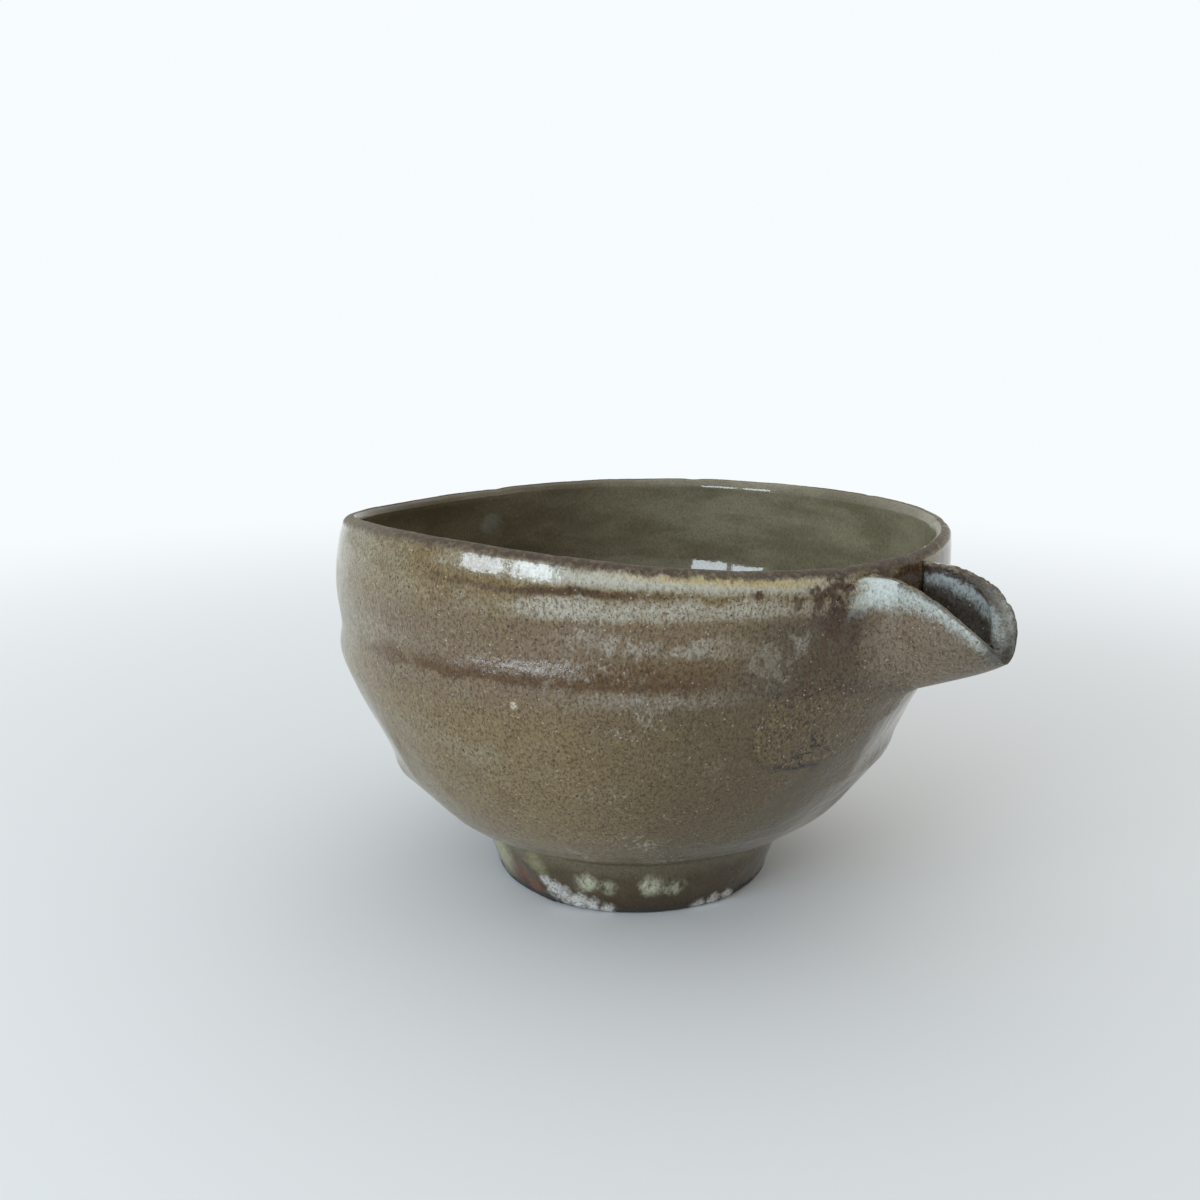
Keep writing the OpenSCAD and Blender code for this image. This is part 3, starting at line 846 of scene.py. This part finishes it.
# The Pared mask lays GREY: the thin glaze of the knife's cuts, and on the bowl below the apron also painted
# shade
veils = [(band(57.5, 8.5, 0, -94, -32, 0.3), 0.85, PURPLE), (shade, 0.8, SHADE), (deep_shade, 0.8, DEEP_SHADE),
         (given["Pared"], 0.8, GREY), (pool, 0.95, AMBER)]
# Each band: middle, half width, slope, start, end, streaks, strength, tone
bands = ((52.4, 1.2, 0.02, -58, -30, 1, 0.25, MILK), (61.2, 1.4, -0.04, -54, -30, 1.2, 0.52, MILK),
         (67, 1.6, 0, -66, -20, 0.6, 0.75, MILK), (71.7, 1.6, -0.055, -70, -14, 0.25, 0.95, CREAM),
         (72.3, 0.8, -0.07, -46, -18, 0.2, 0.8, OCHRE), (69.5, 0.65, -0.015, -74, -44, 0.6, 0.9, BLOTCH),
         (62, 2, 0.02, 45, 150, 1, 0.6, AMBER), (66, 1.8, 0.01, 30, 120, 0.9, 0.65, MILK),
         (55, 2.4, 0, -165, -118, 1.2, 0.5, AMBER))
veils += [(band(*shape), strength, tone) for *shape, strength, tone in bands]
milk = 0.0
for mask, strength, tone in veils:
    colour = b.lay(mask, strength, colour, tone)
    milk = b.most(milk, mask) if tone in (CREAM, OCHRE) else milk
# Each spot: centre, size, strength, tone
for centre, size, strength, tone in (
        ((54.6, -26, 58), 3, 0.25, MILK), ((56.4, -21.6, 60.8), 1.6, 0.45, MILK),
        ((53.4, -28.4, 69), 0.8, 0.9, BLOTCH), ((56.3, -22.4, 67.6), 1.2, 0.8, BLOTCH),
        ((57.7, -18.9, 67.8), 2.2, 0.85, BLOTCH), ((58.9, -15.6, 69.4), 3, 0.95, BLOTCH),
        # The blotch of size 7 at the beak's root is painted shade, where the beak shades the wall
        ((61.2, 1, 69), 7, 0.9, BLOTCH), ((59.8, -15, 64.4), 4.2, 1, BLOTCH),
        ((57.6, -19.6, 57.6), 3, 0.5, AMBER), ((24.9, -54.1, 50.6), 0.75, 1, SALT),
        ((54.6, -13.6, 37.6), 1.5, 0.9, TEAL)):
    spot = b.use(glaze_spot, Centre=centre, Size=size, Ragged=RAGGED[tone], Grain=600)["Mask"]
    colour = b.lay(spot, strength, colour, tone)
calm = b.most(b.times(milk, 0.55), b.times(given["Pared"], 0.65))
grain = b.use(glaze_grain, Under=colour, Grit=b.less(1, calm))
b.feed(out["Colour"], grain["Colour"])
b.feed(out["Height"], grain["Height"])
print("wall glaze", len(wall_glaze.nodes), "nodes")

# %% [markdown]
# ## The bowl's glaze
# The bowl adds to its wall a lip worn to brown, its band narrowed on the far side by painted light,
# cuts of the knife where the glaze lies thin and dark, with painted shade below the apron, and a
# thicker, very glossy olive pool inside, painted darker on one side as shade. The mesh's attributes say
# where each is.

# %% Bowl glaze
POND_PALE, POND_DARK, POND_SHADE = (0.245, 0.224, 0.152, 1), (0.172, 0.152, 0.098, 1), (0.6, 0.56, 0.52, 1)
SEAT, LIP_DARK, LIP_RUBBED = (0.045, 0.032, 0.018, 1), (0.044, 0.027, 0.015, 1), (0.138, 0.098, 0.062, 1)


def new_finish(name):
    finish = bpy.data.materials.new(name)
    finish.use_nodes = True
    finish.node_tree.nodes.clear()
    bench = Bench(finish.node_tree)
    shader = bench.put("BsdfPrincipled", {"IOR": 1.52})
    bench.put("OutputMaterial", {"Surface": shader.outputs[0]})
    return finish, bench, shader


def finish_skin(bench, shader, colour, roughness, height):
    bump = bench.put("Bump", {"Height": height, "Distance": 0.0002})
    bench.feed(shader.inputs["Base Color"], colour)
    bench.feed(shader.inputs["Roughness"], roughness)
    bench.feed(shader.inputs["Normal"], bump.outputs[0])


bowl_glaze, b, shader = new_finish("bowl_ash_glaze")
at = b.use(turned_place)
turn, up = at["Angle"], at["Height"]
# Below the apron's edge, a slanting line on the wall, the glaze is also drawn thin like the knife's cuts;
# its dark tone there is painted shade under the beak
under = b.rise(b.less(up, b.line(turn, 1.09, 53.6)), 2, -1)
under = b.times(under, b.rise(turn, -30, -16), b.rise(turn, 45, 15))
cuts = b.rise(b.line(b.ragged(60, 5, 0.65, (1, 1, 1.6)), 1.6, b.kept("pared")), 0.15, 0.85)
# The knife mask carries the cuts and, below the apron, the zone of painted shade
knife = b.most(b.times(cuts, 0.55), under)
wall = b.use(wall_glaze, Pared=knife)
# Painted highlight: pale milk along the facet ridges, stronger below the apron
outside = b.lay(b.kept("ridge"), b.line(under, 0.3, 0.12), wall["Colour"], MILK)
outside = b.lay(b.rise(up, 14.4, 13.5), 0.55, outside, SEAT)

within = b.rise(b.kept("inside"), 0.4, 0.6)
pond = b.tint(b.rise(b.clouds(60, 4, 0.6, (1, 1, 3)), 0.35, 0.65), POND_PALE, POND_DARK)
# Painted shade: one side of the inside is darkened
pond = b.tint(b.side(turn, 50, 0.7, -0.6), pond, POND_SHADE, "MULTIPLY")
pond = b.use(glaze_grain, Under=pond, Grit=0.4, Specks=0.5, Grains=0.05)["Colour"]
colour = b.tint(within, outside, pond)

worn = b.line(b.ragged(700, 5, 0.75, (1, 1, 0.7)), 4, b.math("ADD", b.kept("below_lip"), within))
# Painted light: the lip's brown band is narrowed towards the far side, where the lip catches the light
lip = b.rise(b.line(b.side(turn, 100, -0.3, 0.5), 0.95, worn), 1.7, 0.6)
rubbed = b.tint(b.rise(b.clouds(1000, 3, 0.7), 0.45, 0.68), LIP_DARK, LIP_RUBBED)
colour = b.lay(lip, b.line(b.side(turn, -35, 0.2, 0.8), 0.42, 0.5), colour, rubbed)

near_lip = b.rise(up, 65, 69)
calm = b.most(within, knife, near_lip)
skin = b.use(glaze_skin, Ground=wall["Height"], Grit=b.line(calm, -0.75, 0.8))
dull = b.line(lip, 0.5, b.times(skin["Roughness"], b.line(calm, -0.6, 1)))
gloss = b.put("Mix", {0: within, 2: dull, 3: b.times(skin["Roughness"], 0.35)}).outputs[0]
smooth = b.less(1, b.most(b.times(near_lip, 0.65), b.times(within, 0.88)))
finish_skin(b, shader, colour, gloss, b.times(skin["Height"], smooth))
print("bowl glaze", len(bowl_glaze.node_tree.nodes), "nodes")

# %% [markdown]
# ## The beak's and the luting clay's glaze
# The beak has the same ground, but the glaze ran milky along its cut edges, where it is thin and
# rough. Its trough is painted dark as shade, and its nose fired nearly black. The luting clay takes
# the wall's glaze and changes to the beak's, with drying cracks near the apron's hem and a painted
# shadow line along it. One function lays the milk of the edges on both, because the veil crosses the joint.

# %% Beak glaze
FLANK = {"Olive": (0.265, 0.224, 0.158, 1), "Brown": (0.208, 0.164, 0.113, 1)}
SMOKE, TROUGH_SHADE, MIST = (0.125, 0.102, 0.074, 1), (0.074, 0.068, 0.057, 1), (0.36, 0.41, 0.42, 1)
CUT_RUST, NOSE = (0.052, 0.033, 0.024, 1), (0.044, 0.040, 0.032, 1)
BUFF, BURNT = (0.26, 0.215, 0.135, 1), (0.085, 0.058, 0.040, 1)
EDGE_MILK, ROOT_MILK = (0.46, 0.51, 0.49, 1), (0.57, 0.63, 0.605, 1)


def beak_milk(bench, colour, where, milk):
    ragged = bench.ragged(520, 5, 0.8, (1, 1, 0.8))
    down = bench.line(ragged, 7, where["Below Edge"])
    reach = bench.line(where["Along"], -2.2, 5.3)
    begun = bench.rise(bench.math("ADD", where["Along"], bench.times(ragged, 0.3)), -0.05, 0.05)
    veil = bench.times(bench.rise(bench.less(down, reach), 0.8, -3), begun, 0.9)
    return bench.tint(veil, colour, milk), veil


beak_glaze, b, shader = new_finish("beak_ash_glaze")
where, at = b.use(beak_place), b.use(turned_place)
colour = b.use(ash_ground, Fire_Side=at["Fire Side"], **FLANK)["Colour"]
colour = b.lay(b.rise(where["Along"], 0.3, 1), 0.6, colour, SMOKE)
colour, veil = beak_milk(b, colour, where, EDGE_MILK)
within = b.kept("within")
# Painted shade: the inside of the trough is laid dark
colour = b.lay(within, 0.95, colour, TROUGH_SHADE)
down = b.line(b.ragged(300, 5, 0.75), 5, where["Below Edge"])
lower = b.line(where["Along"], -1.5, down)
colour = b.lay(b.times(within, b.rise(down, 1.2, 2.4), b.rise(lower, 3.9, 2.3)), 0.95, colour, MIST)
colour = b.lay(b.times(within, b.rise(down, 2.4, 1)), 0.8, colour, CUT_RUST)
cut_edge = b.rise(b.line(b.ragged(900, 4, 0.75), 2, where["Below Edge"]), 0.8, 0.2)
colour = b.lay(cut_edge, 0.8, colour, b.tint(b.rise(b.clouds(700, 3), 0.42, 0.58), BUFF, BURNT))
nose = b.line(b.ragged(400, 3), 0.12, where["Along"])
colour = b.lay(b.rise(nose, 0.88, 0.97), 0.8, colour, NOSE)
grain = b.use(glaze_grain, Under=colour, Grit=b.line(veil, -0.4, 1), Specks=0.6, Grains=0.3)
skin = b.use(glaze_skin, Ground=grain["Height"])
rough = b.line(cut_edge, 0.35, b.line(skin["Roughness"], 0.8, 0.18))
finish_skin(b, shader, grain["Colour"], rough, b.times(skin["Height"], b.line(cut_edge, 1.2, 1)))
print("beak glaze", len(beak_glaze.node_tree.nodes), "nodes")

# %% Luting clay glaze
PALER, CRACK, HEM_SHADOW = (1.13, 1.13, 1.14, 1), (0.018, 0.014, 0.010, 1), (0.026, 0.020, 0.014, 1)

luting_glaze, b, shader = new_finish("luting_ash_glaze")
where, at = b.use(beak_place), b.use(turned_place)
wall = b.use(wall_glaze)
sand = b.use(glaze_grain, Under=wall["Colour"], Grit=0.8, Specks=0.9, Grains=0.4)["Colour"]
sandy = b.tint(b.rise(at["Height"], 60, 52), wall["Colour"], b.tint(1, sand, PALER, "MULTIPLY"))
flank = b.use(ash_ground, Fire_Side=at["Fire Side"], **FLANK)["Colour"]
flank = b.use(glaze_grain, Under=flank, Specks=0.6, Grains=0.3)["Colour"]
near = b.rise(b.line(b.ragged(200, 4, 0.6), 0.3, where["Along"]), -0.02, 0.16)
colour = b.lay(near, b.rise(at["Height"], 48, 56), sandy, flank)
milk = b.use(glaze_grain, Under=ROOT_MILK, Grit=0.4, Specks=0.3, Grains=0.1)["Colour"]
colour, _ = beak_milk(b, colour, where, milk)

bend = b.put("TexNoise", {"Vector": b.place(), "Scale": 420.0}).outputs["Color"]
bends = {0: bend, 1: (0.006, 0.006, 0.006), 2: b.place()}
bent = b.put("VectorMath", bends, operation="MULTIPLY_ADD").outputs[0]
web = b.put("TexVoronoi", {"Vector": bent, "Scale": 170.0}, feature="DISTANCE_TO_EDGE").outputs["Distance"]
dry = b.most(*(b.use(glaze_spot, Centre=centre, Size=size, Ragged=0.8)["Mask"]
               for centre, size in (((55.6, -17.4, 41.5), 4.6), ((52.4, -19.6, 37), 5))))
crack = b.times(b.rise(web, 0.055, 0.015), dry)
colour = b.lay(crack, 0.95, colour, CRACK)
# Painted shadow: a dark line along the apron's hem
edge = b.times(b.kept("within"), b.rise(b.clouds(350, 3, 0.6), 0.25, 0.42),
               b.rise(at["Height"], 56, 48), b.rise(at["Angle"], -26, -19))
colour = b.lay(edge, 0.9, colour, HEM_SHADOW)
skin = b.use(glaze_skin, Ground=wall["Height"], Grit=1.7)
rough = b.line(skin["Roughness"], 0.8, 0.2)
finish_skin(b, shader, colour, rough, b.line(crack, -1.6, skin["Height"]))
print("luting glaze", len(luting_glaze.node_tree.nodes), "nodes")

# %% [markdown]
# ## The foot's glaze
# On the foot the glaze is glassier and browner. It hangs in milky rolls, leaves the scar as bare
# red clay, and thins to a black line at the table, where crumbs of white kiln wadding stick.

# %% Foot glaze
FOOT_GROUND = {"Olive": (0.205, 0.178, 0.104, 1), "Brown": (0.080, 0.057, 0.027, 1)}
FOOT_LOW, FOOT_TOP_SHEEN, FOOT_LINE = (0.052, 0.032, 0.014, 1), (0.175, 0.150, 0.094, 1), (0.035, 0.024, 0.014, 1)
FOAM, MOSS, RED = (0.55, 0.56, 0.42, 1), (0.34, 0.33, 0.165, 1), (0.125, 0.052, 0.030, 1)
BARE, WAD_GREY, WAD_WHITE = (0.032, 0.028, 0.026, 1), (0.30, 0.285, 0.255, 1), (0.56, 0.55, 0.52, 1)

foot_glaze, b, shader = new_finish("foot_ash_glaze")
at = b.use(turned_place)
colour = b.use(ash_ground, Fire_Side=at["Fire Side"], **FOOT_GROUND)["Colour"]
low = b.line(b.ragged(220, 4, 0.6), 4, at["Height"])
colour = b.lay(b.rise(low, 5.2, 1.8), 0.9, colour, FOOT_LOW)
# Painted reflection: the foot's top, a glossy cove, is lighter as if it caught the table's light
colour = b.lay(b.rise(low, 7.5, 11), 0.6, colour, FOOT_TOP_SHEEN)
scored = b.rise(b.math("ABSOLUTE", b.less(at["Height"], 12.4)), 0.9, 0.3)
colour = b.lay(scored, 0.7, colour, FOOT_LINE)
streaky = b.rise(b.clouds(800, 4, 0.7, (1, 1, 0.4)), 0.3, 0.6)
# Each spot: centre, size, strength, tone
for centre, size, strength, tone in (
        ((13.6, -26.7, 7.2), 2.5, 0.9, FOAM), ((17, -24.6, 6.6), 2, 0.6, FOAM),
        ((23.2, -18.7, 7.2), 2.7, 1, FOAM), ((25.6, -15.2, 6.4), 2, 0.7, FOAM),
        ((8, 28.2, 6.4), 3.4, 0.8, FOAM), ((-25.6, 14.8, 6.8), 3.6, 0.8, FOAM),
        ((-9.5, -28.4, 6.6), 5, 0.9, MOSS), ((3, -29.6, 9), 3, 0.6, MOSS),
        ((-2.4, -29, 5), 2.6, 1, RED), ((1.2, -28.9, 2.8), 2.4, 1, RED)):
    spot = b.use(glaze_spot, Centre=centre, Size=size, Ragged=0.35, Grain=320)["Mask"]
    spot = b.times(spot, streaky) if tone == FOAM else spot
    colour = b.lay(spot, strength, colour, tone)
grain = b.use(glaze_grain, Under=colour, Grit=0.5, Specks=0.4, Grains=0.05)
bare = b.most(b.rise(at["Radius"], 27, 26), b.rise(low, 1.7, 0.9))
colour = b.tint(bare, grain["Colour"], BARE)
white = 0.0
# Each crumb of wadding: centre, size
for centre, size in (
        ((4.6, -29, 5.4), 1.5), ((6.6, -28.5, 4), 2.1), ((8.8, -27.7, 2.9), 2.3),
        ((11.2, -26.7, 2.1), 2.3), ((13.6, -25.4, 1.5), 2.1), ((15.9, -23.8, 0.9), 1.7),
        ((26.6, -9.6, 0.7), 1.5), ((27.6, -6.4, 0.9), 1.6), ((28.2, -3.2, 1.1), 1.6),
        ((-2.4, 28.4, 1.8), 3), ((-27.9, 3.9, 1.5), 2.6)):
    white = b.most(white, b.use(glaze_spot, Centre=centre, Size=size, Ragged=0.45)["Mask"])
crumbs = b.clouds(1700)
colour = b.tint(white, colour, b.tint(b.rise(crumbs, 0.36, 0.55), WAD_GREY, WAD_WHITE))
skin = b.use(glaze_skin, Ground=grain["Height"], Grit=0.4)
dull = b.line(b.most(white, bare), 0.5, b.times(skin["Roughness"], 0.7))
finish_skin(b, shader, colour, dull, b.line(b.times(white, crumbs), 2, skin["Height"]))
print("foot glaze", len(foot_glaze.node_tree.nodes), "nodes")

# %% [markdown]
# ## Pieces into the scene
# Each bmesh becomes metres and a mesh, gets its glaze, and rides on the one body of the object.
# It stands for its CAD node, which stays in the frame unseen.

# %% Finish the pieces
def finish_piece(bm, node, glaze):
    bmesh.ops.scale(bm, vec=(MM, MM, MM), verts=bm.verts)
    mesh = bpy.data.meshes.new(node + "_clay")
    bm.to_mesh(mesh)
    bm.free()
    mesh.materials.append(glaze)
    mesh.shade_smooth()
    piece = show(node + "_clay", mesh)
    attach(piece, "root")
    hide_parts(node)
    mesh.calc_loop_triangles()
    print(piece.name, len(mesh.loop_triangles), "triangles")


finish_piece(bowl, "bowl", bowl_glaze)
finish_piece(foot_ring, "foot_ring", foot_glaze)
finish_piece(beak, "beak", beak_glaze)
finish_piece(luting_clay, "luting_clay", luting_glaze)

# %% [markdown]
# ## Floor and light
# The bowl stands on a pale floor in a white room, lit softly from above, with two panes of a
# window to the left of the viewer that show in the glaze. The floor is a plain disc that fades
# to the room's white for the camera, so no edge shows.

# %% Floor
table_bm = bmesh.new()
bmesh.ops.create_circle(table_bm, cap_ends=True, segments=96, radius=1.5)
table_mesh = bpy.data.meshes.new("floor")
table_bm.to_mesh(table_mesh)
table_bm.free()
floor = show("floor", table_mesh)
floor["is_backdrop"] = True

ROOM_WHITE, FLOOR_PALE = (0.93, 0.97, 1.0, 1), (0.84, 0.865, 0.89, 1)
fade_start, fade_end = 0.1, 0.52
paper = bpy.data.materials.new("white_table")
paper.use_nodes = True
paper.node_tree.nodes.clear()
b = Bench(paper.node_tree)
rays = b.put("LightPath").outputs
shown = b.most(rays["Is Camera Ray"], rays["Is Glossy Ray"], rays["Is Transmission Ray"])
spread = b.put("VectorMath", {0: b.place()}, operation="LENGTH").outputs["Value"]
fade = b.times(b.rise(spread, fade_start, fade_end), shown)
matte = b.put("BsdfDiffuse", {"Color": FLOOR_PALE})
glow = b.put("Emission", {"Color": ROOM_WHITE})
blend = b.put("MixShader", {0: fade, 1: matte.outputs[0], 2: glow.outputs[0]})
b.put("OutputMaterial", {"Surface": blend.outputs[0]})
floor.data.materials.append(paper)
print("floor", round(floor.dimensions.x, 2), "m across")

# %% World and lamps
COOL, WARM = (0.96, 0.99, 1.0, 1), (1.0, 0.98, 0.91, 1)
dim, full = 0.37, 0.72
world = bpy.data.worlds.new("white_room")
bpy.context.scene.world = world
world.use_nodes = True
world.node_tree.nodes.clear()
b = Bench(world.node_tree)
towards = b.put("TexCoord").outputs["Generated"]


def facing(way):
    feeds = {0: towards, 1: tuple(way.normalized())}
    return b.put("VectorMath", feeds, operation="DOT_PRODUCT").outputs["Value"]


ramp = {"From Min": -0.7, "From Max": 0.9, "To Min": dim, "To Max": full}
level = b.put("MapRange", {"Value": facing(seen(-0.25, 0.5, 0.6)), **ramp})
rays = b.put("LightPath").outputs
tone = b.tint(b.rise(facing(seen(1, 0, 0)), -0.7, 0.7), COOL, WARM)
room = b.put("Background", {"Color": tone, "Strength": level.outputs[0]})
plain = b.put("Background", {"Color": ROOM_WHITE})
both = b.put("MixShader", {0: rays["Is Camera Ray"], 1: room.outputs[0], 2: plain.outputs[0]})
b.put("OutputWorld", {"Surface": both.outputs[0]})


def lamp(name, spot, target, width, height, watts, colour=(1, 1, 1)):
    light = bpy.data.lights.new(name, "AREA")
    light.shape = "RECTANGLE"
    light.size, light.size_y, light.energy, light.color = width, height, watts, colour
    holder = show(name, light)
    holder.location = spot
    holder.rotation_euler = (target - spot).to_track_quat("-Z", "Y").to_euler()


middle = Vector((0, 0, 0.05))
lamp("ceiling", seen(0.25, 0.3, 0.85), middle, 1.0, 0.9, 0.85)
lamp("skylight", seen(-0.4, -0.4, 0.8), middle, 0.7, 0.6, 0.55)
lamp("side_fill", seen(0.75, -0.2, 0.4), middle, 0.5, 0.5, 0.4, (1.0, 0.97, 0.92))
window, sill, pane = seen(-0.66, -0.62, 0.3), seen(0.685, -0.729, 0), 0.26
for k, aside in enumerate((-0.145, 0.145)):
    spot = window + sill * aside
    lamp("window_pane_%d" % k, spot, middle, pane, pane, 2.2, (0.78, 0.9, 1.0))
bpy.context.scene.view_settings.view_transform = "Standard"

# %% [markdown]
# ## Sizes
# The boxes of the CAD solids and of the clay pieces are printed. The clay pieces must not
# be larger than the solids that they stand for.

# %% Sizes and finish
visual_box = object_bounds()
for name, box in (("cad", cad_box), ("visual", visual_box)):
    print(name, [[round(1000 * x, 2) for x in corner] for corner in box])
